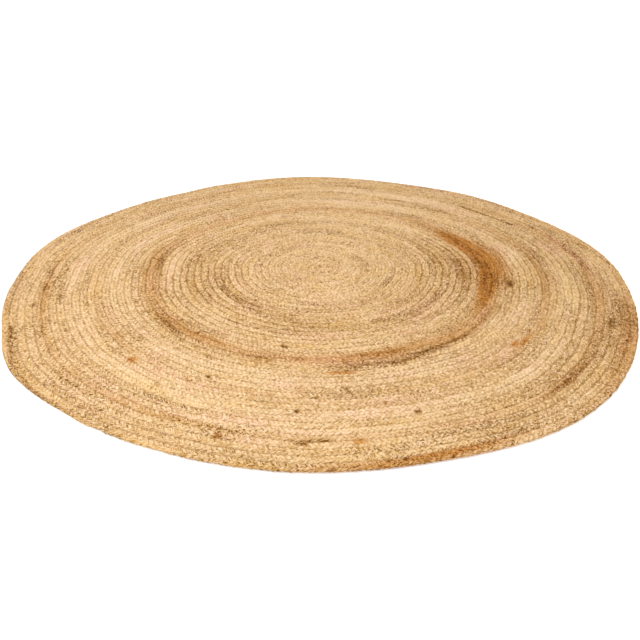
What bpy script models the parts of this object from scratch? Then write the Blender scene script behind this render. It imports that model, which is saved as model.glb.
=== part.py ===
"""Round jute rug, about 1.5 m across: one flat braid coiled into a spiral and sewn row to row.

Metres, +Z up.  The origin is the coil's centre, on the flat underside.  Angles are measured from
+X, anticlockwise seen from above, and the coil runs outwards in the same direction.

The rug is one closed body.  Its top follows the coil: a crown along the middle of each row and a
seam between neighbouring rows, from the folded-in start at the centre to the tapered tail that is
tucked against the last row at the rim.
"""
import math
from collections import namedtuple

import bmesh
import bpy

# The braid and its coil
ROW_PITCH = 0.01685         # width of one row, seam to seam
ROW_COUNT = 45              # rows from the centre to the rim
START_TURN = 0.6            # the first row's inner seam starts this many row widths from the centre
STEPS_PER_TURN = 60         # straight steps in one turn of the coil
TAIL_ANGLE = math.radians(238)
TAIL_STEPS = 8              # the tail narrows over this many steps

# The section of a row, heights above the floor
CROWN_HEIGHT = 0.0090
SEAM_HEIGHT = 0.0056
RIM_HEIGHT = 0.0048         # the widest point of the outermost row
RIM_UNDERCUT = 0.0024       # the underside stops this far inside it
HUB_HEIGHT = 0.0084         # top of the folded-in start

RUG_RADIUS = ROW_PITCH * ROW_COUNT
LAST_TURN = ROW_COUNT - 1   # inner seam of the last row, in row widths, where the tail ends

# The outline isn't a true circle.  Each bulge pushes the rim out by its rise, on an arc of twice
# its span, and the rows inside follow by (radius / rug radius) ** fade.
Bulge = namedtuple("Bulge", "angle_deg span_deg rise fade")
OUTLINE_BULGES = (
    Bulge(8, 24, 0.0145, 1),
    Bulge(49, 17, 0.0070, 1),
    Bulge(97, 33, 0.0260, 1),
    Bulge(120, 9, 0.0045, 5),
    Bulge(140, 14, 0.0055, 2),
    Bulge(165, 25, 0.0210, 1),
    Bulge(203, 15, -0.0045, 4),
    Bulge(219, 18, 0.0130, 8),
    Bulge(240, 15, 0.0040, 4),
    Bulge(264, 24, 0.0035, 1),
    Bulge(309, 30, 0.0190, 1),
    Bulge(340, 26, 0.0040, 1),
)

# Places where a few neighbouring rows were sewn out of line: they lie shifted outwards by shift
# around a middle, fading out over reach along the radius and span around it.
Sway = namedtuple("Sway", "radius angle_deg reach span_deg shift")
ROW_SWAYS = (
    Sway(0.450, 300, 0.075, 16, -0.0100),
    Sway(0.560, 281, 0.070, 14, 0.0050),
    Sway(0.560, 244, 0.080, 13, 0.0050),
    Sway(0.690, 254, 0.050, 16, -0.0050),
    Sway(0.610, 330, 0.080, 18, -0.0050),
    Sway(0.380, 205, 0.070, 22, 0.0045),
    Sway(0.600, 28, 0.090, 20, 0.0050),
    Sway(0.480, 132, 0.080, 20, -0.0050),
)

JUTE_COLOUR = (0.70, 0.47, 0.23, 1.0)
JUTE_ROUGHNESS = 0.88


def clear_scene():
    for old in list(bpy.data.objects):
        bpy.data.objects.remove(old, do_unlink=True)


def angle_apart(angle, centre_deg):
    """Smallest angle, in degrees, between an angle in radians and a place in degrees."""
    return abs((math.degrees(angle) - centre_deg + 180.0) % 360.0 - 180.0)


def lobe(distance, reach):
    """1 at distance 0, falling smoothly to 0 at reach."""
    if distance >= reach:
        return 0.0
    return math.cos(0.5 * math.pi * distance / reach) ** 2


def row_shift(radius, angle):
    """How far outwards the coil is pushed at a place, by the outline's bulges and the sways."""
    shift = 0.0
    for bulge in OUTLINE_BULGES:
        follow = (radius / RUG_RADIUS) ** bulge.fade
        shift += bulge.rise * follow * lobe(angle_apart(angle, bulge.angle_deg), bulge.span_deg)
    for sway in ROW_SWAYS:
        nearness = lobe(abs(radius - sway.radius), sway.reach)
        shift += sway.shift * nearness * lobe(angle_apart(angle, sway.angle_deg), sway.span_deg)
    return shift


def coil_point(turn, across, height, inset=0.0):
    """A point on the coil.

    turn counts row widths from the centre to the row's inner seam, across is the place in the
    row, 0 at its inner seam and 1 at its outer one, and inset moves the point inwards.
    """
    angle = TAIL_ANGLE + 2.0 * math.pi * (turn - LAST_TURN)
    radius = ROW_PITCH * (turn + across)
    radius += row_shift(radius, angle) - inset
    return (radius * math.cos(angle), radius * math.sin(angle), height)


def tail_width(steps_left):
    """Share of a row's full width, narrowing to 0 over the last steps of the coil."""
    share = min(1.0, steps_left / TAIL_STEPS)
    return share * share * (3.0 - 2.0 * share)


def mark_sharp(mesh, line):
    """Crease the edges along a line of points, where two rounded sides meet."""
    for near, far in zip(line, line[1:]):
        mesh.edges.get((near, far)).smooth = False


def add_coil(mesh):
    """The seams and crowns of every row, joined into the top.

    Returns the first turn of the inner seam, the first crown, and the rim with its turns.
    """
    step_count = round((LAST_TURN - START_TURN) * STEPS_PER_TURN)
    turns = [LAST_TURN - (step_count - step) / STEPS_PER_TURN for step in range(step_count + 1)]
    seams = [mesh.verts.new(coil_point(turn, 0.0, SEAM_HEIGHT)) for turn in turns]
    crowns = []
    for step, turn in enumerate(turns[:-1]):
        width = tail_width(step_count - step)
        height = SEAM_HEIGHT + (CROWN_HEIGHT - SEAM_HEIGHT) * math.sqrt(width)
        crowns.append(mesh.verts.new(coil_point(turn, 0.5 * width, height)))

    # The last row has no row outside it: its outer side is the rim, which starts and ends at the
    # tail, on the seam's last point.
    rim_start = step_count - STEPS_PER_TURN
    rim = [seams[-1]]
    for step in range(rim_start + 1, step_count):
        width = tail_width(step_count - step)
        rim.append(mesh.verts.new(coil_point(turns[step], width, RIM_HEIGHT)))

    outers = seams[STEPS_PER_TURN:] + rim[1:]
    for step in range(step_count - 1):
        mesh.faces.new((seams[step], crowns[step], crowns[step + 1], seams[step + 1]))
        mesh.faces.new((crowns[step], outers[step], outers[step + 1], crowns[step + 1]))
    mesh.faces.new((seams[-2], crowns[-1], seams[-1]))
    mesh.faces.new((crowns[-1], outers[-1], seams[-1]))
    mark_sharp(mesh, seams)

    first_turn = seams[:STEPS_PER_TURN + 1]
    return first_turn, crowns[0], rim, turns[rim_start:-1]


def add_hub(mesh, first_turn, first_crown):
    """The braid's folded-in start: a low dome inside the first turn of the inner seam."""
    middle = mesh.verts.new((0.0, 0.0, HUB_HEIGHT))
    last_inner = first_turn[-2]
    for near, far in zip(first_turn[:-2], first_turn[1:-1]):
        mesh.faces.new((middle, near, far))
    mesh.faces.new((middle, last_inner, first_turn[0]))
    mesh.faces.new((first_turn[0], last_inner, first_crown))
    mesh.faces.new((first_crown, last_inner, first_turn[-1]))


def add_underside(mesh, rim, rim_turns):
    """The flat face that the rug lies on, and the side that leans out from it to the rim."""
    flat = [mesh.verts.new(coil_point(LAST_TURN, 0.0, 0.0, RIM_UNDERCUT))]
    for step, turn in enumerate(rim_turns[1:], start=1):
        width = tail_width(STEPS_PER_TURN - step)
        flat.append(mesh.verts.new(coil_point(turn, width, 0.0, RIM_UNDERCUT)))
    count = len(rim)
    for step in range(count):
        after = (step + 1) % count
        mesh.faces.new((rim[step], flat[step], flat[after], rim[after]))
    mesh.faces.new(list(reversed(flat)))
    mark_sharp(mesh, flat + flat[:1])


def jute_material():
    material = bpy.data.materials.new("natural_jute")
    material.use_nodes = True
    shader = material.node_tree.nodes["Principled BSDF"]
    shader.inputs["Base Color"].default_value = JUTE_COLOUR
    shader.inputs["Roughness"].default_value = JUTE_ROUGHNESS
    shader.inputs["Metallic"].default_value = 0.0
    return material


def make_braid_coil(collection):
    mesh = bmesh.new()
    first_turn, first_crown, rim, rim_turns = add_coil(mesh)
    add_hub(mesh, first_turn, first_crown)
    add_underside(mesh, rim, rim_turns)
    bmesh.ops.recalc_face_normals(mesh, faces=mesh.faces)
    for face in mesh.faces:
        face.smooth = True

    data = bpy.data.meshes.new("braid_coil")
    mesh.to_mesh(data)
    mesh.free()
    data.materials.append(jute_material())
    rug = bpy.data.objects.new("braid_coil", data)
    collection.objects.link(rug)
    return rug


def main():
    clear_scene()
    collection = bpy.data.collections.new("round_jute_rug")
    bpy.context.scene.collection.children.link(collection)
    make_braid_coil(collection)


main()
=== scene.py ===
"""The looks of a round braided jute rug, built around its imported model.

The rug is one flat braid of three jute strands, coiled into a spiral and sewn row to row.  Every
strand is modelled along its real path through the plait, from the folded-in start at the centre
to the tucked-in tail at the rim.  A thin closed body of packed fibre fills the spaces between the
strands, stitches of thread cross the seams, and single fibres have worked loose on top.

Metres, +Z up, the coil's centre at the origin on the floor.  Angles are measured from +X,
anticlockwise seen from above, and the coil runs outwards in the same direction.
"""

import math
from collections import namedtuple

import bpy
import numpy as np
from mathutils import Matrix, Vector


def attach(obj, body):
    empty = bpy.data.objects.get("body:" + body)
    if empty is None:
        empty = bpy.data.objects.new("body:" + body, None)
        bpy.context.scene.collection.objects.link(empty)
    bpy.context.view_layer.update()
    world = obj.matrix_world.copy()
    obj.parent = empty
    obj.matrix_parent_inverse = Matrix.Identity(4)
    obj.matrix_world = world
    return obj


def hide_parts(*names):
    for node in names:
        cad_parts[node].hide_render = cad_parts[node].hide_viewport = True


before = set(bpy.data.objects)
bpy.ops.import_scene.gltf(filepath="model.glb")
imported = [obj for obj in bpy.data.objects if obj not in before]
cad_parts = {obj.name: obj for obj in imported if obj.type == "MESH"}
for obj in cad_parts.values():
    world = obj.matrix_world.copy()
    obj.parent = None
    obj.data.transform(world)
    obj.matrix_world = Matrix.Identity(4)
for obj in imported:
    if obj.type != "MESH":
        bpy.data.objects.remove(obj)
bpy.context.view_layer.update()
RUG_NODE = "braid_coil"

# ---------------------------- the coil, as the solid has it
ROW_PITCH = 0.01685         # width of one row, seam to seam
ROW_COUNT = 45              # rows from the centre to the rim
RUG_RADIUS = ROW_PITCH * ROW_COUNT
LAST_TURN = ROW_COUNT - 1   # the last row's inner seam, in row widths, where the tail ends
TAIL_ANGLE = math.radians(238)
TAIL_TURNS = 8 / 60         # the tail narrows over 8 of the solid's 60 steps in a turn
START_TURN = -0.22          # the braid's start, in row widths, curled up at the centre

# The outline isn't a true circle.  Each bulge pushes the rim out by its rise, on an arc of twice
# its span, and the rows inside follow by (radius / rug radius) ** fade.
Bulge = namedtuple("Bulge", "angle_deg span_deg rise fade")
OUTLINE_BULGES = (
    Bulge(8, 24, 0.0145, 1),
    Bulge(49, 17, 0.0070, 1),
    Bulge(97, 33, 0.0260, 1),
    Bulge(120, 9, 0.0045, 5),
    Bulge(140, 14, 0.0055, 2),
    Bulge(165, 25, 0.0210, 1),
    Bulge(203, 15, -0.0045, 4),
    Bulge(219, 18, 0.0130, 8),
    Bulge(240, 15, 0.0040, 4),
    Bulge(264, 24, 0.0035, 1),
    Bulge(309, 30, 0.0190, 1),
    Bulge(340, 26, 0.0040, 1),
)

# Places where a few neighbouring rows were sewn out of line: they lie shifted outwards by shift
# around a middle, fading out over reach along the radius and span around it.
Sway = namedtuple("Sway", "radius angle_deg reach span_deg shift")
ROW_SWAYS = (
    Sway(0.450, 300, 0.075, 16, -0.0100),
    Sway(0.560, 281, 0.070, 14, 0.0050),
    Sway(0.560, 244, 0.080, 13, 0.0050),
    Sway(0.690, 254, 0.050, 16, -0.0050),
    Sway(0.610, 330, 0.080, 18, -0.0050),
    Sway(0.380, 205, 0.070, 22, 0.0045),
    Sway(0.600, 28, 0.090, 20, 0.0050),
    Sway(0.480, 132, 0.080, 20, -0.0050),
)

# Finer waves that the sewing pulled into the rows, too short for the solid's steps: waves in a
# turn, radians of drift from the centre to the rim, size, and start.
Wave = namedtuple("Wave", "per_turn drift size start")
ROW_WAVES = (
    Wave(27, 14.0, 0.0016, 0.4),
    Wave(41, -19.0, 0.0011, 2.1),
    Wave(17, 9.0, 0.0012, 4.0),
    Wave(63, 31.0, 0.0006, 1.2),
)
# A wave swells and shrinks along its row: its size is the mean share, give or take the change.
# The waves die out close to the rim.
SWELL_MEAN = 0.6
SWELL_CHANGE = 0.4
SWELLS_PER_TURN = 3.0
SWELL_DRIFT = 7.0           # radians from the centre to the rim
WAVE_RIM_POWER = 8          # higher keeps the waves up closer to the rim

# Seams that have opened a little and show dark: where, over which half arc, and how far.
Gap = namedtuple("Gap", "radius angle_deg span_deg opening")
SEAM_GAPS = (
    Gap(0.452, 303, 14, 0.0034),
    Gap(0.687, 306, 7, 0.0030),
    Gap(0.681, 268, 5, 0.0032),
    Gap(0.697, 336, 5, 0.0026),
    Gap(0.628, 189, 6, 0.0018),
    Gap(0.566, 297, 10, 0.0016),
    Gap(0.470, 349, 4, 0.0030),
)
GAP_REACH = 0.030           # the rows on both sides make room over about this width

# ---------------------------- the braid
STRAND_COUNT = 3
PLAIT_LENGTH = 0.0295       # one strand's way across and back
STEPS_PER_PLAIT = 7         # straight steps in it
STRAND_SIDES = 6
STRAND_WIDTH = 0.0088
STRAND_THICKNESS = 0.0054
STRAND_ROUND = 0.0215       # once around a strand
STRAND_SPREAD = 0.0060      # how far a strand's middle swings to each side,
STRAND_RISE = 0.0015        # and over and under the others
EDGE_LIFT = 0.0006          # it lies this much higher at the braid's edges, lower at its middle
SIDE_WANDER = 0.0022        # how far it wanders off to the sides,
HEIGHT_WANDER = 0.0010      # and up and down,
SIZE_WANDER = 0.40          # and how much its size changes, as a share
WANDERS_APART = 7.31        # the strands read the noise this far apart, so each has its own
STRAND_SEED = 3.0
BRAID_MIDDLE = 0.0045       # height of the braid's middle above the floor
BAND_COUNT = 5              # the strands are made in this many lengths, one piece for each
SHORT_TURN = 1e-3           # places this far ahead and behind give a row's direction

# The braid's very end: its size as a share, how far it is pulled in under the row inside it, as a
# share of its own width, and how far it is pushed down.
TAIL_SHARE = 0.30
TAIL_TUCK = 0.6
TAIL_DIP = 0.0015

# The pull on the strands came and went while they were plaited, so plaits are longer in some
# places than in others: share of the length, radians in a metre, and start.
Pull = namedtuple("Pull", "share per_metre start")
PLAIT_PULLS = (
    Pull(0.05, 6.1, 0.0),
    Pull(0.04, 17.3, 1.0),
    Pull(0.03, 41.0, 0.0),
)
PULL_SAMPLES = 60000        # places along the braid at which its plaits are added up

# ---------------------------- shades of the jute, and painted shade in its furrows and seams
# Places where the jute has another shade.  Rows count outwards from the centre.  rows_wide and
# span_deg are half widths, dark goes from 1, brown, through 0 to -1, pale, and warm from 1,
# orange, to -1, grey.
Mark = namedtuple("Mark", "row rows_wide angle_deg span_deg dark warm")
SHADE_MARKS = (
    # the brown ring a little over half way out
    Mark(24.3, 1.2, 180, 30, 0.50, 0.15),
    Mark(26.0, 0.9, 181, 30, 0.50, 0.10),
    Mark(26.2, 0.8, 220, 9, 0.60, 0.10),
    Mark(25.6, 2.2, 226, 44, 0.20, 0.10),
    Mark(24.9, 1.2, 235, 10, 0.25, 0.15),
    Mark(26.2, 1.0, 253, 8, 0.80, 0.10),
    Mark(25.4, 0.6, 262, 7, 0.70, 0.10),
    Mark(27.1, 0.7, 279, 15, 0.45, 0.20),
    Mark(25.1, 0.8, 286, 12, 0.70, 0.15),
    Mark(25.6, 2.6, 288, 34, 0.22, 0.20),
    Mark(27.5, 0.6, 291, 8, 1.40, 0.20),
    Mark(27.1, 0.7, 299, 8, 1.70, 0.20),
    Mark(26.6, 0.6, 308, 10, 1.50, 0.25),
    Mark(26.3, 0.6, 320, 16, 0.80, 0.20),
    # the orange patch on the right
    Mark(24.5, 1.7, 346, 23, 0.40, 1.10),
    Mark(24.4, 0.8, 350, 14, 0.45, 0.30),
    Mark(21.5, 2.4, 358, 30, 0.60, 0.45),
    Mark(26.4, 3.8, 6, 28, 0.22, 0.58),
    Mark(24.3, 1.6, 12, 20, 0.30, 0.50),
    Mark(24.6, 2.8, 24, 18, 0.40, 0.80),
    # single dark lengths of a row
    Mark(23.0, 0.5, 259.0, 1.8, 4.00, 0.0),
    Mark(22.5, 0.6, 303, 9, 0.60, 0.0),
    Mark(27.6, 0.4, 203.5, 1.4, 2.20, 0.0),
    Mark(27.9, 0.6, 348.5, 3.0, 2.20, 0.40),
    Mark(28.2, 0.6, 242, 2.5, 0.90, 0.30),
    Mark(31.3, 0.4, 246.5, 0.9, 4.00, 0.0),
    Mark(35.3, 0.4, 266, 0.9, 3.50, 0.0),
    Mark(36.6, 0.4, 286, 1.0, 3.00, 0.0),
    Mark(37.7, 0.4, 175, 1.0, 2.00, 0.0),
    Mark(37.8, 0.4, 181, 1.2, 1.80, 0.0),
    Mark(37.9, 0.6, 28.4, 1.6, 1.60, 0.10),
    Mark(39.9, 0.4, 270.5, 2.5, 1.80, 0.0),
    Mark(40.0, 0.5, 189.5, 1.8, 1.30, 0.10),
    Mark(40.3, 0.5, 267.5, 2.2, 2.60, 0.0),
    Mark(40.3, 0.6, 24.3, 2.5, 1.40, 0.0),
    Mark(40.8, 0.5, 197, 1.8, 1.60, 0.15),
    Mark(41.1, 0.5, 336, 4, 1.20, 0.0),
    # single orange and brownish lengths
    Mark(28.3, 0.7, 275, 7, 0.15, 1.00),
    Mark(31.8, 0.6, 219, 1.8, 0.30, 0.15),
    Mark(32.1, 0.6, 218, 5, 0.05, 0.15),
    Mark(31.8, 0.7, 317.5, 2.0, 0.50, 1.20),
    Mark(32.6, 0.6, 320, 6, 0.10, 0.70),
    Mark(33.8, 0.8, 229, 1.8, 0.40, 1.30),
    Mark(40.4, 0.7, 275.5, 1.8, 0.30, 0.90),
    Mark(40.8, 0.6, 255.5, 1.2, 1.20, 1.40),
    # pale lengths, from one row to a few rows wide
    Mark(19.0, 4.0, 230, 26, -0.60, -0.15),
    Mark(30.8, 2.4, 8, 14, -0.55, -0.10),
    Mark(32.4, 4.0, 252, 20, -0.20, 0.0),
    Mark(34.8, 0.7, 231.5, 3.5, -0.60, -0.20),
    Mark(35.9, 0.9, 293, 13, -0.45, -0.10),
    Mark(36.0, 1.2, 236, 14, -0.30, 0.10),
    Mark(38.2, 0.6, 335, 12, -0.30, -0.50),
    Mark(38.8, 2.6, 268, 42, -0.40, -0.05),
    # rows that are brown or flecked with brown over longer arcs, outside the ring
    Mark(33.3, 0.4, 312, 12, 0.70, 0.0),
    Mark(35.4, 0.4, 190, 16, 0.45, 0.0),
    Mark(37.3, 0.5, 240, 26, 0.45, 0.0),
    Mark(37.4, 0.5, 205, 34, 0.45, 0.0),
    Mark(37.5, 0.5, 196, 5, 0.90, 0.0),
    Mark(37.7, 0.5, 40, 10, 1.80, 0.20),
    Mark(37.8, 0.5, 31, 6, 1.20, 0.10),
    Mark(39.5, 0.4, 257, 6, 0.55, 0.0),
    Mark(39.6, 1.0, 244, 24, 0.22, 0.10),
    Mark(39.8, 0.5, 200, 34, 0.30, 0.10),
    Mark(39.8, 0.4, 310, 9, 1.70, 0.10),
    Mark(39.8, 1.2, 315, 9, 0.25, 0.10),
    Mark(40.2, 2.0, 188, 28, 0.20, 0.10),
    Mark(40.8, 0.6, 226, 8, 0.55, 0.10),
    Mark(42.2, 2.4, 332, 24, 0.25, 0.15),
    # the last rows before the rim
    Mark(43.2, 1.6, 330, 30, 0.15, 0.30),
    Mark(43.3, 0.9, 290, 14, 0.30, 0.55),
    Mark(43.6, 0.5, 206, 4, 0.60, 0.0),
    Mark(43.6, 0.9, 208, 26, 0.50, 0.10),
    Mark(43.7, 1.1, 280, 18, 0.20, 0.50),
    Mark(44.0, 1.3, 212, 42, 0.30, 0.0),
    # painted shadow where the rim meets the floor, at the front left
    Mark(44.9, 0.6, 250, 8, 1.60, 0.0),
    # whole sides that are a shade darker: the inner rows on the left, and all rows on the right,
    #     whose darkness is painted shade where the light falls off
    Mark(17.0, 9.0, 200, 80, 0.15, 0.05),
    Mark(33.0, 30.0, 0, 75, 0.38, 0.15),
)

# Rings where the whole coil is a shade darker or paler, all the way round.
Ring = namedtuple("Ring", "row rows_wide dark warm")
SHADE_RINGS = (
    Ring(15.0, 1.5, 0.14, 0.08),
    Ring(18.3, 1.8, 0.22, 0.08),
    Ring(21.8, 2.4, -0.26, -0.12),
    Ring(25.3, 2.4, 0.05, 0.38),
    Ring(29.8, 2.2, -0.45, -0.20),
    Ring(32.7, 1.4, -0.05, 0.20),
    Ring(35.9, 2.0, -0.50, -0.15),
    Ring(39.7, 1.5, 0.06, 0.26),
    Ring(44.4, 2.0, 0.12, 0.20),
)

# Stretches of the rug where the furrows between the strands get darker painted shade, ...
Stretch = namedtuple("Stretch", "row rows_wide angle_deg span_deg dark")
PAINTED_FURROW_SHADES = (
    Stretch(19.0, 16.0, 250, 150, 0.7),
    Stretch(31.0, 9.0, 200, 45, 1.0),
    Stretch(39.0, 8.0, 195, 45, 0.6),
    Stretch(33.0, 6.0, 303, 22, 0.5),
    Stretch(41.0, 6.0, 305, 25, 0.4),
)
# ... and where the seams between the rows get dark lines of painted shade.
PAINTED_SEAM_SHADES = (
    Stretch(32.0, 24.0, 10, 70, 1.0),
    Stretch(32.0, 24.0, 130, 60, 1.2),
    Stretch(18.0, 15.0, 215, 110, 1.3),
    Stretch(20.0, 10.0, 0, 80, 1.3),
    Stretch(40.0, 9.0, 315, 60, 0.7),
    Stretch(38.0, 12.0, 250, 70, 0.3),
)
SEAM_SHADE_STARTS = 0.65          # a seam's painted shade starts this far from a row's middle to its edge


# ---------------------------- places on the coil
def lobe(distance, reach):
    """1 at distance 0, falling smoothly to 0 at reach."""
    return np.where(distance < reach, np.cos(0.5 * np.pi * distance / reach) ** 2, 0.0)


def on_arc(angle, place):
    """1 at a place's own angle, falling smoothly to 0 where its span ends."""
    apart = np.abs((np.degrees(angle) - place.angle_deg + 180.0) % 360.0 - 180.0)
    return lobe(apart, place.span_deg)


def row_shift(radius, angle):
    """How far outwards the coil is pushed at a place."""
    share = radius / RUG_RADIUS
    shift = np.zeros_like(radius)
    for bulge in OUTLINE_BULGES:
        shift += bulge.rise * share ** bulge.fade * on_arc(angle, bulge)
    for sway in ROW_SWAYS:
        near = lobe(np.abs(radius - sway.radius), sway.reach)
        shift += sway.shift * near * on_arc(angle, sway)
    for wave in ROW_WAVES:
        change = np.sin(SWELLS_PER_TURN * angle + SWELL_DRIFT * share + wave.start)
        swell = (SWELL_MEAN + SWELL_CHANGE * change) * share * (1.0 - share ** WAVE_RIM_POWER)
        shift += wave.size * swell * np.sin(wave.per_turn * angle + wave.drift * share + wave.start)
    for gap in SEAM_GAPS:
        side = np.clip((radius - gap.radius) / (0.5 * ROW_PITCH), -1.0, 1.0)
        fade = np.exp(-np.abs(radius - gap.radius) / GAP_REACH)
        shift += 0.5 * gap.opening * side * fade * on_arc(angle, gap)
    return shift


def coil_place(turn, across):
    """The x and y of places on the coil.

    turn counts row widths from the centre to the row's inner seam, and across is the place in the
    row, 0 at its inner seam and 1 at its outer one.
    """
    angle = TAIL_ANGLE + 2.0 * np.pi * (turn - LAST_TURN)
    radius = ROW_PITCH * (turn + across)
    radius = radius + row_shift(radius, angle)
    return np.stack((radius * np.cos(angle), radius * np.sin(angle)), axis=-1)


def row_width(turn):
    """A row's share of the full width, narrowing to 0 over the tail."""
    share = np.clip((LAST_TURN - turn) / TAIL_TURNS, 0.0, 1.0)
    return share * share * (3.0 - 2.0 * share)


def braid_share(turn):
    """The braid's size as a share: whole, and smaller in the tail."""
    return np.maximum(row_width(turn), TAIL_SHARE)


def length_at(turn):
    """The length along the braid's middle, from its start to a turn of the coil."""
    return np.pi * ROW_PITCH * ((turn + 0.5) ** 2 - (START_TURN + 0.5) ** 2)


def turn_at(length):
    """The turn of the coil at a length along the braid's middle."""
    start = START_TURN + 0.5
    return np.sqrt(length / (np.pi * ROW_PITCH) + start * start) - 0.5


BRAID_LENGTH = length_at(LAST_TURN)


def plait_steps():
    """Lengths along the braid at each step of its plaits, which are shorter in the tail."""
    along = np.linspace(0.0, BRAID_LENGTH, PULL_SAMPLES)
    pull = np.ones_like(along)
    for part in PLAIT_PULLS:
        pull += part.share * np.sin(along * part.per_metre + part.start)
    rate = 1.0 / (PLAIT_LENGTH * pull * braid_share(turn_at(along)))
    plaits = np.concatenate(([0.0], np.cumsum(0.5 * (rate[1:] + rate[:-1]) * np.diff(along))))
    steps = np.arange(int(plaits[-1] * STEPS_PER_PLAIT) + 1)
    return np.interp(steps / STEPS_PER_PLAIT, plaits, along)


def patch(row, angle, place):
    """1 in the middle of a mark or a stretch, falling to 0 at its edges."""
    return lobe(np.abs(row - place.row), place.rows_wide) * on_arc(angle, place)


def row_shades(row, angle):
    """How dark and how warm the jute is at each row and angle, and how much painted shade its
    furrows and the seam beside it get.  Rows count outwards from the centre."""
    dark = np.zeros_like(row)
    warm = np.zeros_like(row)
    for ring in SHADE_RINGS:
        near = lobe(np.abs(row - ring.row), ring.rows_wide)
        dark += ring.dark * near
        warm += ring.warm * near
    for mark in SHADE_MARKS:
        near = np.flatnonzero(np.abs(row - mark.row) < mark.rows_wide)
        strength = patch(row[near], angle[near], mark)
        dark[near] += mark.dark * strength
        warm[near] += mark.warm * strength
    furrow_shade = sum(part.dark * patch(row, angle, part) for part in PAINTED_FURROW_SHADES)
    # painted shade lines along the seams, where they are listed
    across = (row - (angle - TAIL_ANGLE) / (2.0 * np.pi)) % 1.0
    near_seam = np.clip((np.abs(2.0 * across - 1.0) - SEAM_SHADE_STARTS) / (1.0 - SEAM_SHADE_STARTS), 0.0, 1.0)
    seam = near_seam * sum(part.dark * patch(row, angle, part) for part in PAINTED_SEAM_SHADES)
    return dark, warm, furrow_shade, seam


# ---------------------------- building node trees
class Term:
    """A socket that can be used in expressions with numbers and other terms."""

    def __init__(self, tree, socket):
        self.tree = tree
        self.socket = socket

    def maths(self, operation, first, second):
        node = self.tree.add("ShaderNodeMath", {"operation": operation}, {0: first, 1: second})
        return Term(self.tree, node.outputs[0])

    def __add__(self, other):
        return self.maths("ADD", self, other)

    __radd__ = __add__

    def __sub__(self, other):
        return self.maths("SUBTRACT", self, other)

    def __rsub__(self, other):
        return self.maths("SUBTRACT", other, self)

    def __mul__(self, other):
        return self.maths("MULTIPLY", self, other)

    __rmul__ = __mul__

    def __truediv__(self, other):
        return self.maths("DIVIDE", self, other)

    def __pow__(self, other):
        return self.maths("POWER", self, other)

    def sine(self):
        return self.maths("SINE", self, 0.0)

    def cosine(self):
        return self.maths("COSINE", self, 0.0)

    def between(self, low, high):
        """0 at low, 1 at high and beyond, with a smooth change between them."""
        return self.tree.out(
            "ShaderNodeMapRange",
            {"interpolation_type": "SMOOTHSTEP"},
            {"Value": self, 1: low, 2: high},
        )


class Tree:
    """Adds nodes to a shader or geometry tree: settings are set first, then values or links."""

    def __init__(self, tree):
        self.tree = tree

    def add(self, kind, settings=None, sockets=None):
        node = self.tree.nodes.new(kind)
        for name, value in (settings or {}).items():
            setattr(node, name, value)
        for key, value in (sockets or {}).items():
            self.put(node.inputs[key], value)
        return node

    def put(self, socket, value):
        if isinstance(value, Term):
            self.tree.links.new(value.socket, socket)
        else:
            socket.default_value = value

    def out(self, kind, settings=None, sockets=None, output=0):
        return Term(self, self.add(kind, settings, sockets).outputs[output])

    def join(self, x, y, z):
        return self.out("ShaderNodeCombineXYZ", None, {0: x, 1: y, 2: z})

    def parts(self, vector):
        """A vector's x, y and z."""
        node = self.add("ShaderNodeSeparateXYZ", None, {0: vector})
        return [Term(self, socket) for socket in node.outputs]

    def vector(self, operation, sockets):
        return self.out("ShaderNodeVectorMath", {"operation": operation}, sockets)

    def mix(self, factor, first, second, blend="MIX"):
        """A colour mix."""
        node = self.add(
            "ShaderNodeMix",
            {"data_type": "RGBA", "blend_type": blend, "clamp_factor": True},
            {"Factor": factor, 6: first, 7: second},
        )
        return Term(self, node.outputs[2])

    def attribute(self, name):
        return self.out("ShaderNodeAttribute", {"attribute_name": name}, output="Fac")

    def ramp(self, factor, stops):
        """A colour ramp with (position, colour) stops."""
        node = self.add("ShaderNodeValToRGB", None, {"Fac": factor})
        elements = node.color_ramp.elements
        elements[0].position, elements[0].color = stops[0]
        elements[1].position, elements[1].color = stops[-1]
        for position, colour in stops[1:-1]:
            elements.new(position).color = colour
        return Term(self, node.outputs["Color"])

    def noise(self, vector, scale=1.0, detail=2.0, roughness=0.5):
        return self.out(
            "ShaderNodeTexNoise",
            {"noise_dimensions": "3D"},
            {"Vector": vector, "Scale": scale, "Detail": detail, "Roughness": roughness},
        )


class GeometryTree(Tree):
    """A geometry tree with named inputs."""

    def __init__(self, name, inputs):
        group = bpy.data.node_groups.new(name, "GeometryNodeTree")
        group.is_modifier = True
        super().__init__(group)
        group.interface.new_socket("Geometry", in_out="INPUT", socket_type="NodeSocketGeometry")
        for socket_name, kind in inputs:
            group.interface.new_socket(socket_name, in_out="INPUT", socket_type=f"NodeSocket{kind}")
        group.interface.new_socket("Geometry", in_out="OUTPUT", socket_type="NodeSocketGeometry")
        self.entry = group.nodes.new("NodeGroupInput")
        self.exit = group.nodes.new("NodeGroupOutput")

    def given(self, name):
        return Term(self, self.entry.outputs[name])

    def attribute(self, name, kind="FLOAT"):
        return self.out("GeometryNodeInputNamedAttribute", {"data_type": kind}, {"Name": name})

    def store(self, geometry, name, value):
        return self.out(
            "GeometryNodeStoreNamedAttribute",
            {"data_type": "FLOAT", "domain": "POINT"},
            {"Geometry": geometry, "Name": name, "Value": value},
        )

    def finish(self, geometry):
        """Ends the tree in real geometry with its material."""
        geometry = self.out("GeometryNodeRealizeInstances", None, {0: geometry})
        geometry = self.out("GeometryNodeSetMaterial", None, {
            "Geometry": geometry,
            "Material": self.given("Material"),
        })
        self.put(self.exit.inputs[0], geometry)


def new_object(name, data):
    """An object at the origin, in the scene."""
    made = bpy.data.objects.new(name, data)
    bpy.context.scene.collection.objects.link(made)
    return made


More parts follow.
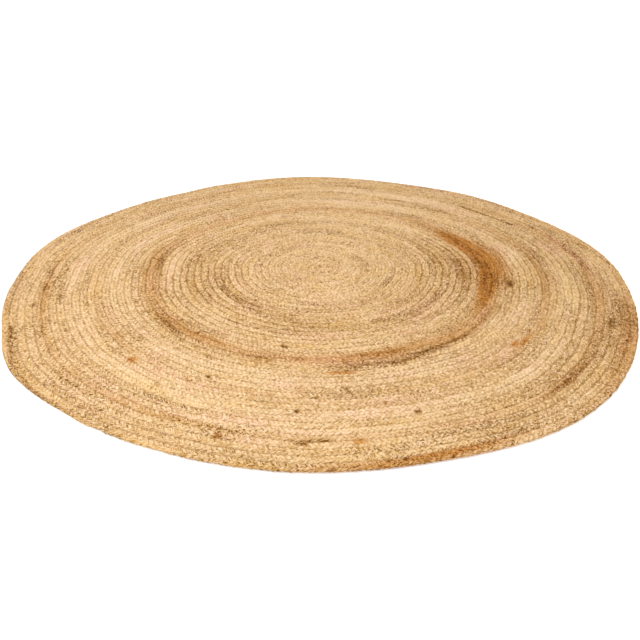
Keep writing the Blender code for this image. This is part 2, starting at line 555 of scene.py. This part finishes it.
def grown(name, source, tree, sizes):
    """The plain mesh that a geometry tree makes from source, as a new object.  The source goes."""
    modifier = source.modifiers.new(tree.tree.name, "NODES")
    modifier.node_group = tree.tree
    inputs = [item for item in tree.tree.interface.items_tree if item.in_out == "INPUT"]
    identifiers = {item.name: item.identifier for item in inputs}
    for key, value in sizes.items():
        modifier[identifiers[key]] = value
    evaluated = source.evaluated_get(bpy.context.evaluated_depsgraph_get())
    mesh = bpy.data.meshes.new_from_object(evaluated)
    mesh.name = name
    bpy.data.objects.remove(source, do_unlink=True)
    return new_object(name, mesh)


# ---------------------------- the strands
def strand_tree():
    """Three strands plaited along a line of points, each a flattened tube."""
    tree = GeometryTree("plaited_strands", (
        ("Steps", "Float"),
        ("Spread", "Float"),
        ("Rise", "Float"),
        ("Edge Lift", "Float"),
        ("Strand Width", "Float"),
        ("Strand Thickness", "Float"),
        ("Sides", "Int"),
        ("Side Wander", "Float"),
        ("Height Wander", "Float"),
        ("Size Wander", "Float"),
        ("Seed", "Float"),
        ("Material", "Material"),
    ))
    line = tree.out("GeometryNodeMeshToCurve", None, {"Mesh": tree.given("Geometry")})
    copies = tree.add("GeometryNodeDuplicateElements", {"domain": "SPLINE"}, {
        "Geometry": line,
        "Amount": STRAND_COUNT,
    })
    strand = Term(tree, copies.outputs["Duplicate Index"])
    strands = tree.store(Term(tree, copies.outputs["Geometry"]), "strand", strand)

    along = tree.attribute("along")
    share = tree.attribute("share")
    number = tree.attribute("strand")
    apart = number * WANDERS_APART

    def wander(per_metre, offset):
        """A smooth value from -1 to 1 that changes this often along a strand."""
        place = tree.join(along * per_metre, apart + tree.given("Seed"), offset)
        return (tree.noise(place, detail=1.0) - 0.5) * 2.0

    plaits = tree.attribute("step") / tree.given("Steps")
    phase = (plaits + number / STRAND_COUNT) * (2.0 * math.pi)
    swing = phase.sine() * tree.given("Spread")
    sideways = (swing + wander(per_metre=95.0, offset=1.3) * tree.given("Side Wander")) * share
    dip = (phase * 2.0).sine() * tree.given("Rise")
    dip = dip + (phase * 2.0).cosine() * tree.given("Edge Lift")
    upwards = (wander(per_metre=80.0, offset=9.1) * tree.given("Height Wander") - dip) * share

    outward = tree.attribute("outward", "FLOAT_VECTOR")
    aside = tree.vector("SCALE", {0: outward, "Scale": sideways})
    offset = tree.vector("ADD", {0: aside, 1: tree.join(0.0, 0.0, upwards)})
    strands = tree.out("GeometryNodeSetPosition", None, {"Geometry": strands, "Offset": offset})
    strands = tree.out("GeometryNodeSetCurveNormal", {"mode": "Z_UP"}, {0: strands})
    size = (1.0 + wander(per_metre=60.0, offset=4.4) * tree.given("Size Wander")) * share
    strands = tree.out("GeometryNodeSetCurveRadius", None, {"Curve": strands, "Radius": size})

    # A hexagon with corners at the strand's two edges, and flat sides above and below.
    sides = tree.given("Sides")
    ring = tree.out("GeometryNodeCurvePrimitiveCircle", None, {"Resolution": sides, "Radius": 0.5})
    profile = tree.store(ring, "around", tree.out("GeometryNodeInputIndex") / sides)
    profile = tree.out("GeometryNodeTransform", None, {
        "Geometry": profile,
        "Scale": tree.join(tree.given("Strand Width"), tree.given("Strand Thickness"), 1.0),
    })
    tubes = tree.out("GeometryNodeCurveToMesh", None, {
        "Curve": strands,
        "Profile Curve": profile,
        "Fill Caps": True,
    })
    tree.finish(tree.out("GeometryNodeSetShadeSmooth", None, {0: tubes}))
    return tree


def set_attribute(mesh, name, values):
    """Stores a number or a vector at every point of a mesh."""
    vector = values.ndim == 2
    attribute = mesh.attributes.new(name, "FLOAT_VECTOR" if vector else "FLOAT", "POINT")
    flat = values.astype(np.float32).ravel()
    attribute.data.foreach_set("vector" if vector else "value", flat)


def line_object(name, points, attributes):
    """A chain of edges through points, with a value for each point under each name."""
    mesh = bpy.data.meshes.new(name)
    count = len(points)
    mesh.vertices.add(count)
    mesh.vertices.foreach_set("co", points.astype(np.float32).ravel())
    mesh.edges.add(count - 1)
    ends = np.stack((np.arange(count - 1), np.arange(1, count)), axis=-1)
    mesh.edges.foreach_set("vertices", ends.astype(np.int32).ravel())
    for key, values in attributes.items():
        set_attribute(mesh, key, values)
    mesh.update()
    return new_object(name, mesh)


def row_middle(turn):
    """The place on a row's middle at a turn."""
    return coil_place(turn, 0.5 * row_width(turn))


def braid_line(first_step, along):
    """The braid's middle line through the lengths along, as an object."""
    steps = np.arange(first_step, first_step + len(along))
    turn = turn_at(along)
    width = row_width(turn)
    share = braid_share(turn)
    tucked = share - width      # 0 along the braid, and TAIL_SHARE at its very end
    place = coil_place(turn, 0.5 * width - TAIL_TUCK * tucked)
    ahead = row_middle(turn + SHORT_TURN) - row_middle(turn - SHORT_TURN)
    ahead /= np.linalg.norm(ahead, axis=1, keepdims=True)
    points = np.column_stack((place, BRAID_MIDDLE - TAIL_DIP * tucked / TAIL_SHARE))
    outward = np.column_stack((ahead[:, 1], -ahead[:, 0], np.zeros(len(steps))))
    return line_object("braid_line", points, {
        "along": along,
        "share": share,
        "outward": outward,
        "step": steps.astype(float),
        "row": turn + 0.5 * width,
        "line_radius": np.linalg.norm(place, axis=1),
    })


def point_values(mesh, name):
    values = np.empty(len(mesh.vertices), np.float32)
    mesh.attributes[name].data.foreach_get("value", values)
    return values


def corner_values(mesh, name):
    """A point attribute's value at every face corner."""
    values = point_values(mesh, name)
    corners = np.empty(len(mesh.loops), np.int32)
    mesh.loops.foreach_get("vertex_index", corners)
    return values[corners]


def add_shades(mesh, row, angle):
    """Keeps the marks' shades, and the painted shade of furrows and seams, at every point of a
    mesh, from the points' rows and angles.
    """
    for name, values in zip(("dark", "warm", "furrow_shade", "seam"), row_shades(row, angle)):
        set_attribute(mesh, name, values)


def add_strand_shades(mesh):
    """Shades for the strands, whose points lie up to half a row off the braid's middle line."""
    places = np.empty(3 * len(mesh.vertices), np.float32)
    mesh.vertices.foreach_get("co", places)
    x, y = places[0::3].astype(float), places[1::3].astype(float)
    off_line = (np.hypot(x, y) - point_values(mesh, "line_radius")) / ROW_PITCH
    add_shades(mesh, point_values(mesh, "row") + off_line, np.arctan2(y, x))


# The map for baking cuts each strand into lengths and lays them out one under the other.
MAP_STEPS = 9.0             # steps in one length, for each length that a strand is cut into
ROW_MARGIN = 0.04           # space above and below a length, as a share of its row
CAP_RADIUS = 0.4            # size of an end cap, as a share of its place in the last row
CAP_COUNT = 2 * STRAND_COUNT


def add_map(mesh, name, u, v):
    layer = mesh.uv_layers.new(name=name)
    layer.data.foreach_set("uv", np.column_stack((u, v)).astype(np.float32).ravel())


def add_strand_maps(mesh, first_step, last_step):
    """Two maps on the strands: "fibre_map" has metres along and turns around, for the fibres, and
    "OFBake" lays the tubes out in rows side by side, with their end caps in a row on top."""
    along = corner_values(mesh, "along")
    around = corner_values(mesh, "around")
    step = corner_values(mesh, "step")
    strand = corner_values(mesh, "strand")
    starts = np.empty(len(mesh.polygons), np.int32)
    totals = np.empty(len(mesh.polygons), np.int32)
    mesh.polygons.foreach_get("loop_start", starts)
    mesh.polygons.foreach_get("loop_total", totals)
    face = np.repeat(np.arange(len(starts)), totals)
    low_step = np.minimum.reduceat(step, starts)[face]
    widest = np.maximum.reduceat(around, starts) - np.minimum.reduceat(around, starts)
    cap = (totals != 4)[face]
    # The faces that close a tube run from its last side back to 0, which there counts as 1.
    closing = (widest > 0.5)[face] & (around < 0.5) & ~cap
    around = around + closing
    add_map(mesh, "fibre_map", along, around)

    step_count = last_step - first_step
    lengths = max(1, round(math.sqrt(step_count / MAP_STEPS)))
    per_length = math.ceil(step_count / lengths)
    rows = STRAND_COUNT * lengths + 1
    length = np.floor((low_step - first_step) / per_length)
    row = length + lengths * strand
    u = (step - first_step - length * per_length) / per_length
    v = (row + ROW_MARGIN + (1.0 - 2.0 * ROW_MARGIN) * around) / rows
    turned = 2.0 * np.pi * around
    cap_middle = strand + STRAND_COUNT * (low_step > first_step) + 0.5
    u = np.where(cap, (cap_middle + CAP_RADIUS * np.cos(turned)) / CAP_COUNT, u)
    v = np.where(cap, (rows - 0.5 + CAP_RADIUS * np.sin(turned)) / rows, v)
    add_map(mesh, "OFBake", u, v)


def make_strands(material):
    tree = strand_tree()
    along = plait_steps()
    cuts = [round((len(along) - 1) * band / BAND_COUNT) for band in range(BAND_COUNT + 1)]
    pieces = []
    for band, (first, last) in enumerate(zip(cuts, cuts[1:])):
        line = braid_line(first, along[first:last + 1])
        piece = grown(f"jute_strands_{band + 1}", line, tree, {
            "Steps": float(STEPS_PER_PLAIT),
            "Spread": STRAND_SPREAD,
            "Rise": STRAND_RISE,
            "Edge Lift": EDGE_LIFT,
            "Strand Width": STRAND_WIDTH,
            "Strand Thickness": STRAND_THICKNESS,
            "Sides": STRAND_SIDES,
            "Side Wander": SIDE_WANDER,
            "Height Wander": HEIGHT_WANDER,
            "Size Wander": SIZE_WANDER,
            "Seed": STRAND_SEED,
            "Material": material,
        })
        add_strand_shades(piece.data)
        add_strand_maps(piece.data, first, last)
        pieces.append(piece)
    return pieces


# ---------------------------- sewing thread and loose fibres
STITCH_SPACING = 0.070      # along the braid
FIRST_STITCH_TURN = 1.0
STITCH_LENGTH = 0.0070
STITCH_HEIGHT = 0.0072      # where a stitch's ends go into the braid
STITCH_ARCH = 0.0016        # how far its middle rises above them
STITCH_TURNED = 0.9         # radians that it may lie askew
THREAD_THICKNESS = 0.0011
THREAD_SEED = 1

LOOSE_COUNT = 1200          # loose fibres
LOOSE_END = 0.998           # the last of them, as a share of the braid's length
LOOSE_MARGIN = 0.1          # their middles stay this far off a row's edges, in row widths
LOOSE_LENGTH = 0.016
LOOSE_HEIGHT = 0.0082       # where a fibre's ends lie on the braid,
LOOSE_LOWER = 0.0006        # or up to this much lower
LOOSE_HIGHER = 0.0004       # or this much higher
LOOSE_ARCH = 0.0022
LOOSE_BEND = 0.004          # how far it bends to the side
LOOSE_TURNED = 1.3
LOOSE_THICKNESS = 0.0003
LOOSE_PLACE_SEED = 8
LOOSE_SHAPE_SEED = 7

SMALLEST_ARCH = 0.6         # the sizes of stitches and fibres, as shares
LARGEST_ARCH = 1.3


def arch_tree():
    """A short arched tube with three sides on every point, turned to the point's heading, give or
    take a little."""
    tree = GeometryTree("arched_lengths", (
        ("Length", "Float"),
        ("Arch", "Float"),
        ("Bend", "Float"),
        ("Thickness", "Float"),
        ("Steps", "Int"),
        ("Turned", "Float"),
        ("Smallest", "Float"),
        ("Largest", "Float"),
        ("Seed", "Int"),
        ("Material", "Material"),
    ))
    half = tree.given("Length") * 0.5
    arch = tree.out("GeometryNodeCurveQuadraticBezier", None, {
        "Resolution": tree.given("Steps"),
        "Start": tree.join(half * -1.0, 0.0, 0.0),
        "Middle": tree.join(0.0, tree.given("Bend"), tree.given("Arch") * 2.0),
        "End": tree.join(half, 0.0, 0.0),
    })
    arch = tree.out("GeometryNodeSetCurveNormal", {"mode": "Z_UP"}, {0: arch})
    ring = tree.out("GeometryNodeCurvePrimitiveCircle", None, {
        "Resolution": 3,
        "Radius": tree.given("Thickness") * 0.5,
    })
    tube = tree.out("GeometryNodeCurveToMesh", None, {
        "Curve": arch,
        "Profile Curve": ring,
        "Fill Caps": True,
    })

    def chance(low, high, seed):
        """A different value from low to high at every point."""
        sockets = {2: low, 3: high, "Seed": seed}
        return tree.out("FunctionNodeRandomValue", {"data_type": "FLOAT"}, sockets, 1)

    seed = tree.given("Seed")
    turned = chance(tree.given("Turned") * -1.0, tree.given("Turned"), seed)
    size = chance(tree.given("Smallest"), tree.given("Largest"), seed + 1.0)
    copies = tree.out("GeometryNodeInstanceOnPoints", None, {
        "Points": tree.given("Geometry"),
        "Instance": tube,
        "Rotation": tree.join(0.0, 0.0, tree.attribute("heading") + turned),
        "Scale": size,
    })
    tree.finish(copies)
    return tree


def points_object(name, places, height, heading):
    """Loose points, each with its height and its heading."""
    mesh = bpy.data.meshes.new(name)
    mesh.from_pydata(np.column_stack((places, height)).tolist(), [], [])
    set_attribute(mesh, "heading", heading)
    return new_object(name, mesh)


def make_thread(tree, material):
    """Stitches across the seams, sunk in between the strands."""
    first = length_at(FIRST_STITCH_TURN)
    turn = turn_at(np.arange(first, BRAID_LENGTH, STITCH_SPACING))
    seams = coil_place(turn, 0.0)
    heading = np.arctan2(seams[:, 1], seams[:, 0])
    points = points_object("stitches", seams, np.full(len(turn), STITCH_HEIGHT), heading)
    return grown("sewing_thread", points, tree, {
        "Length": STITCH_LENGTH,
        "Arch": STITCH_ARCH,
        "Bend": 0.0,
        "Thickness": THREAD_THICKNESS,
        "Steps": 3,
        "Turned": STITCH_TURNED,
        "Smallest": SMALLEST_ARCH,
        "Largest": LARGEST_ARCH,
        "Seed": THREAD_SEED,
        "Material": material,
    })


def make_fibres(tree, material):
    """Single fibres that have worked loose and lie on the braid."""
    rng = np.random.default_rng(LOOSE_PLACE_SEED)
    turn = turn_at(rng.uniform(0.0, BRAID_LENGTH * LOOSE_END, LOOSE_COUNT))
    across = rng.uniform(LOOSE_MARGIN, 1.0 - LOOSE_MARGIN, LOOSE_COUNT)
    places = coil_place(turn, across * row_width(turn))
    heading = np.arctan2(places[:, 1], places[:, 0]) + 0.5 * np.pi
    height = LOOSE_HEIGHT + rng.uniform(-LOOSE_LOWER, LOOSE_HIGHER, LOOSE_COUNT)
    points = points_object("fibres", places, height, heading)
    return grown("loose_fibres", points, tree, {
        "Length": LOOSE_LENGTH,
        "Arch": LOOSE_ARCH,
        "Bend": LOOSE_BEND,
        "Thickness": LOOSE_THICKNESS,
        "Steps": 2,
        "Turned": LOOSE_TURNED,
        "Smallest": SMALLEST_ARCH,
        "Largest": LARGEST_ARCH,
        "Seed": LOOSE_SHAPE_SEED,
        "Material": material,
    })


# ---------------------------- the closed body under them
BODY_STEPS = 72             # straight steps in one turn
BODY_START = 0.6            # its first inner seam starts this many row widths from the centre
BODY_TAIL = 0.02            # its width at the tail's end, in row widths
BODY_HALF = 0.0018          # half its thickness


def make_body(material):
    """The packed fibre between the strands and in the seams: a thin closed sheet on the coil."""
    step_count = round((LAST_TURN - BODY_START) * BODY_STEPS)
    turn = LAST_TURN - (step_count - np.arange(step_count + 1)) / BODY_STEPS
    width = row_width(turn)
    count = len(turn)

    # Points: the inner seam, then the crown beside each of its points, and last the middle.
    seam = coil_place(turn, 0.0)
    crown = coil_place(turn, 0.5 * np.maximum(width, BODY_TAIL))
    points = np.concatenate((seam, crown, [[0.0, 0.0]]))
    middle = 2 * count

    # Faces from each seam to its crown, from there to the next row's seam, and around the middle.
    step = np.arange(step_count)
    inner = np.column_stack((step, step + count, step + count + 1, step + 1))
    step = np.arange(step_count - BODY_STEPS)
    next_row = step + BODY_STEPS
    outer = np.column_stack((step + count, next_row, next_row + 1, step + count + 1))
    last = BODY_STEPS - 1
    hub = [[middle, s, s + 1] for s in range(last)]
    hub += [[middle, last, 0], [0, last, count], [count, last, last + 1]]
    faces = inner.tolist() + outer.tolist() + hub

    # The same sheet above and below, joined along the open edge: the last turn's crowns, and
    # across to the seam at both ends.
    total = len(points)
    top = np.column_stack((points, np.full(total, BRAID_MIDDLE + BODY_HALF)))
    bottom = np.column_stack((points, np.full(total, BRAID_MIDDLE - BODY_HALF)))
    under = [[corner + total for corner in reversed(face)] for face in faces]
    edge = list(range(middle - 1 - BODY_STEPS, middle)) + [step_count]
    sides = [[a, a + total, b + total, b] for a, b in zip(edge, edge[1:] + edge[:1])]

    mesh = bpy.data.meshes.new("braid_body")
    mesh.from_pydata(np.concatenate((top, bottom)).tolist(), [], faces + under + sides)
    mesh.materials.append(material)
    row = np.concatenate((turn, turn + 0.5 * width, [0.0]))
    angle = np.arctan2(points[:, 1], points[:, 0])
    add_shades(mesh, np.tile(row, 2), np.tile(angle, 2))
    mesh.validate()
    mesh.update()
    return new_object("braid_body", mesh)


# ---------------------------- materials
# Jute from its darkest flecks to its palest fibres, at even steps of tone.
JUTE_TONES = (
    (0.00, (0.150, 0.056, 0.006, 1.0)),
    (0.20, (0.330, 0.160, 0.030, 1.0)),
    (0.40, (0.503, 0.296, 0.097, 1.0)),
    (0.60, (0.630, 0.403, 0.187, 1.0)),
    (0.80, (0.740, 0.508, 0.280, 1.0)),
    (1.00, (0.820, 0.608, 0.375, 1.0)),
)
ORANGE_TINT = (0.80, 0.54, 0.26, 1.0)
GREY_TINT = (0.90, 0.96, 1.12, 1.0)
PINK_TINT = (1.02, 0.97, 1.06, 1.0)
STRAW_TINT = (1.01, 0.98, 0.86, 1.0)
# the packed fibre's colour, darkened as painted shade
SHADED_JUTE = (0.300, 0.165, 0.065, 1.0)
TAN = (0.540, 0.340, 0.160, 1.0)
THREAD_DARK = (0.420, 0.250, 0.100, 1.0)
THREAD_PALE = (0.640, 0.430, 0.220, 1.0)
FIBRE_PALE = (0.840, 0.640, 0.380, 1.0)

# The fibres that show along a strand, from bundles down to hairs: length and width of one, detail
# of the noise, how much they change the tone and the height, and where in the noise they lie.
Streak = namedtuple("Streak", "length width detail tone height offset")
BUNDLES = Streak(0.0075, 0.0024, 2.0, 1.35, 0.9, 0.0)
FIBRES = Streak(0.0050, 0.0012, 2.0, 1.80, 0.5, 9.0)
HAIRS = Streak(0.010, 0.0004, 1.0, 1.20, 0.2, 21.0)
BARK_FLECKS = Streak(0.0045, 0.0018, 1.0, -0.95, 0.0, 33.0)
FIBRE_DEPTH = 0.0016

# What changes along the braid: the length of one change, its strength, 1 where each strand has
# its own and 0 where the three change together, and where in the noise it lies.
Change = namedtuple("Change", "length strength own offset")
TONE_CHANGES = (
    Change(0.014, 0.60, 1.0, 3.0),
    Change(0.11, 0.30, 1.0, 6.0),
    Change(0.035, 0.22, 0.0, 40.0),
    Change(0.20, 0.45, 0.0, 44.0),
    Change(0.70, 0.35, 0.0, 11.0),
)
DARK_CHANGE = Change(0.30, 0.50, 0.0, 52.0)
BARK_CHANGE = Change(0.26, 0.55, 0.0, 60.0)
FURROW_SHADE_CHANGE = Change(0.016, 2.4, 1.0, 75.0)
SEAM_SHADE_CHANGE = Change(0.25, 1.8, 0.0, 70.0)
SEAM_SHADE_BREAKS = Change(0.014, 1.8, 1.0, 80.0)
TINT_CHANGE = Change(0.12, 0.70, 0.2, 31.0)

STREAKS_APART = 17.0        # the strands read the noise this far apart for their fibres,
CHANGES_APART = 7.3         # and for their changes of shade
NOISE_ROUGHNESS = 0.6
MEAN_TONE = 0.735           # where the jute lies between the darkest and the palest
DARK_TONE = 0.18            # how much a mark of full darkness takes off the tone
RING_WIDTH = 0.045          # rings of other shades are about this wide
RING_DARK = 0.60            # how dark they are, beside the marks
RING_CHANGE = 1.6           # how fast a ring changes its shade on the way round,
TINT_RING_CHANGE = 2.2      # and its tint
TINT_OFFSET = 20.0          # the rings of tint aren't those of shade
BARK_STARTS = 0.12          # how strong a fleck has to be to show at all,
BARK_FULL = 0.17            # and to show dark
BARK_WITH_DARK = 0.12       # dark jute has more flecks
FURROW_SHADE_ALL_OVER = 0.14      # how dark the painted shade in the furrows is everywhere,
FURROW_SHADE_EXTRA = 0.28          # and where it is listed darker
SEAM_SHADE = 0.30            # how dark a seam's painted shade is, where it shows
HOLLOW_SHADE_TOP = 0.0076         # above this height the strands get no painted shade
HOLLOW_SHADE_BOTTOM = 0.0058      # and below this one their painted shade is darkest
TINT_STARTS = 0.02          # how far the noise leaves its mean before a tint shows at all,
TINT_FULL = 0.20            # and in full
WARM_UNEVEN = 0.8           # how unevenly the bundles take the orange

JUTE_ROUGHNESS = 0.72
ROUGHNESS_CHANGE = 0.4      # how much it follows the fibres
JUTE_SPECULAR = 0.05
BODY_ROUGHNESS = 0.75
BODY_ROUGHNESS_CHANGE = 0.2
THREAD_ROUGHNESS = 0.7
THREAD_SPECULAR = 0.2
BUMP_STRENGTH = 0.8
SPECK_SCALE = 420.0         # specks in a metre of the packed fibre
SPECK_DEPTH = 0.0008
SHADE_SCALE = 60.0          # shades in a metre of thread
SHADE_EDGES = (0.35, 0.65)  # the noise between these two mixes from one shade to the other


def new_material(name, specular):
    material = bpy.data.materials.new(name)
    material.use_nodes = True
    tree = Tree(material.node_tree)
    shader = tree.tree.nodes["Principled BSDF"]
    shader.inputs["Specular IOR Level"].default_value = specular
    return material, tree, shader


def add_bump(tree, shader, depth, height):
    sockets = {"Strength": BUMP_STRENGTH, "Distance": depth, "Height": height}
    tree.put(shader.inputs["Normal"], tree.out("ShaderNodeBump", None, sockets))


def jute_material():
    """Plaited jute: long fibres along each strand, in shades that change from length to length."""
    material, tree, shader = new_material("plaited_jute", JUTE_SPECULAR)
    along, around, _ = tree.parts(tree.out("ShaderNodeUVMap", {"uv_map": "fibre_map"}))
    turn = around * (2.0 * math.pi)
    strand = tree.attribute("strand")

    def streaks(kind):
        """Fibre streaks of about a kind's length and width."""
        reach = STRAND_ROUND / (2.0 * math.pi * kind.width)
        place = tree.join(
            along / kind.length + strand * STREAKS_APART,
            turn.cosine() * reach + kind.offset,
            turn.sine() * reach,
        )
        return tree.noise(place, detail=kind.detail, roughness=NOISE_ROUGHNESS) - 0.5

    def changing(kind):
        """A shade that changes along a strand about once in each length."""
        across = strand * (CHANGES_APART * kind.own) + kind.offset
        place = tree.join(along / kind.length, across, kind.offset)
        return (tree.noise(place) - 0.5) * kind.strength

    bundles = streaks(BUNDLES)
    fibres = streaks(FIBRES)
    hairs = streaks(HAIRS)
    tone = MEAN_TONE + bundles * BUNDLES.tone + fibres * FIBRES.tone + hairs * HAIRS.tone
    for change in TONE_CHANGES:
        tone = tone + changing(change)

    x, y, z = tree.parts(tree.out("ShaderNodeTexCoord", output="Object"))
    radius = (x * x + y * y) ** 0.5

    def rings(offset, change):
        """Rings of another shade, a few rows wide and not quite closed."""
        place = tree.join(radius / RING_WIDTH + offset, x / radius * change, y / radius * change)
        return tree.noise(place, detail=3.0, roughness=NOISE_ROUGHNESS) - 0.5

    dark = tree.attribute("dark") - rings(0.0, RING_CHANGE) * RING_DARK - changing(DARK_CHANGE)
    # Flecks of bark, which come with some lengths of the braid and not with others.
    flecked = streaks(BARK_FLECKS) + dark * BARK_WITH_DARK + changing(BARK_CHANGE)
    bark = flecked.between(BARK_STARTS, BARK_FULL)
    # Painted shade darkens the low hollows between the strands, and lines along the seams.
    darker = tree.attribute("furrow_shade") * (FURROW_SHADE_EXTRA + changing(FURROW_SHADE_CHANGE))
    furrow_shade = z.between(HOLLOW_SHADE_TOP, HOLLOW_SHADE_BOTTOM) * (FURROW_SHADE_ALL_OVER + darker)
    seam_shade_strength = SEAM_SHADE + changing(SEAM_SHADE_CHANGE) + changing(SEAM_SHADE_BREAKS)
    # the seam's painted shade, broken into stretches
    seam = tree.attribute("seam") * seam_shade_strength
    tone = tone + bark * BARK_FLECKS.tone - dark * DARK_TONE - furrow_shade - seam

    colour = tree.ramp(tone, JUTE_TONES)
    tint = rings(TINT_OFFSET, TINT_RING_CHANGE) + changing(TINT_CHANGE)
    warm = tree.attribute("warm") * (1.0 + bundles * WARM_UNEVEN)
    for shown, shade in (
        (tint.between(TINT_STARTS, TINT_FULL), PINK_TINT),
        (tint.between(-TINT_STARTS, -TINT_FULL), STRAW_TINT),
        (warm.between(0.0, 1.0), ORANGE_TINT),
        (warm.between(0.0, -1.0), GREY_TINT),
    ):
        colour = tree.mix(shown, colour, shade, "MULTIPLY")
    tree.put(shader.inputs["Base Color"], colour)
    tree.put(shader.inputs["Roughness"], JUTE_ROUGHNESS - fibres * ROUGHNESS_CHANGE)
    height = bundles * BUNDLES.height + fibres * FIBRES.height + hairs * HAIRS.height
    add_bump(tree, shader, FIBRE_DEPTH, height)
    return material


def body_material():
    """The packed fibre, darkened as painted shade, as it shows only in the strands' shade."""
    material, tree, shader = new_material("jute_in_shade", JUTE_SPECULAR)
    specks = tree.noise(tree.out("ShaderNodeTexCoord", output="Object"), SPECK_SCALE, detail=3.0)
    colour = tree.mix(specks.between(*SHADE_EDGES), SHADED_JUTE, TAN)
    colour = tree.mix(tree.attribute("warm").between(0.0, 1.0), colour, ORANGE_TINT, "MULTIPLY")
    tree.put(shader.inputs["Base Color"], colour)
    tree.put(shader.inputs["Roughness"], specks * BODY_ROUGHNESS_CHANGE + BODY_ROUGHNESS)
    add_bump(tree, shader, SPECK_DEPTH, specks)
    return material


def thread_material(name, first, second):
    """Plain thread or fibre, between two shades."""
    material, tree, shader = new_material(name, THREAD_SPECULAR)
    shades = tree.noise(tree.out("ShaderNodeTexCoord", output="Object"), SHADE_SCALE)
    tree.put(shader.inputs["Base Color"], tree.mix(shades.between(*SHADE_EDGES), first, second))
    shader.inputs["Roughness"].default_value = THREAD_ROUGHNESS
    return material


# ---------------------------- floor, light and camera
CAMERA_PLACE = (0.0, -1.50186, 0.70748)
CAMERA_PITCH_DEG = 29.641   # how far it looks down
LENS_PIXELS = 643.8         # focal length, in pixels of the 640 pixel wide picture
PICTURE_WIDTH = 640
SENSOR_MM = 36.0
WORLD_STRENGTH = 1.02
KEY_PLACE = (-0.8, -1.0, 1.9)
KEY_SIZE = 1.0
KEY_WATTS = 22.0
WHITE = (1.0, 1.0, 1.0, 1.0)
FLOOR_COLOUR = (0.92, 0.92, 0.92, 1.0)
FLOOR_SIZE = 80.0
FLOOR_GLOW = 0.3
FLOOR_ROUGHNESS = 0.9
FLOOR_SPECULAR = 0.5


def make_floor():
    bpy.ops.mesh.primitive_plane_add(size=FLOOR_SIZE, location=(0.0, 0.0, 0.0))
    floor = bpy.context.object
    floor.name = "floor"
    material, _, shader = new_material("pale_floor", FLOOR_SPECULAR)
    shader.inputs["Base Color"].default_value = FLOOR_COLOUR
    shader.inputs["Emission Color"].default_value = WHITE
    shader.inputs["Emission Strength"].default_value = FLOOR_GLOW
    shader.inputs["Roughness"].default_value = FLOOR_ROUGHNESS
    floor.data.materials.append(material)


def make_light():
    """Even light from all round, and one soft lamp above the front left."""
    world = bpy.data.worlds.new("studio")
    world.use_nodes = True
    back = world.node_tree.nodes["Background"]
    back.inputs["Color"].default_value = WHITE
    back.inputs["Strength"].default_value = WORLD_STRENGTH
    bpy.context.scene.world = world

    lamp = bpy.data.lights.new("soft_key", "AREA")
    lamp.shape = "SQUARE"
    lamp.size = KEY_SIZE
    lamp.energy = KEY_WATTS
    key = new_object("soft_key", lamp)
    key.location = KEY_PLACE
    key.rotation_euler = (-Vector(KEY_PLACE)).to_track_quat("-Z", "Y").to_euler()


def make_camera():
    data = bpy.data.cameras.new("camera")
    data.sensor_width = SENSOR_MM
    data.lens = LENS_PIXELS / PICTURE_WIDTH * SENSOR_MM
    camera = new_object("camera", data)
    camera.location = CAMERA_PLACE
    camera.rotation_euler = (math.radians(90 - CAMERA_PITCH_DEG), 0.0, 0.0)
    bpy.context.scene.camera = camera


# ---------------------------- the rug
make_camera()
make_floor()
make_light()
bpy.context.scene.view_settings.view_transform = "Standard"

pieces = make_strands(jute_material())
arches = arch_tree()
pieces.append(make_thread(arches, thread_material("jute_thread", THREAD_DARK, THREAD_PALE)))
pieces.append(make_fibres(arches, thread_material("loose_jute", TAN, FIBRE_PALE)))
body = make_body(body_material())
for piece in pieces + [body]:
    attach(piece, "root")
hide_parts(RUG_NODE)
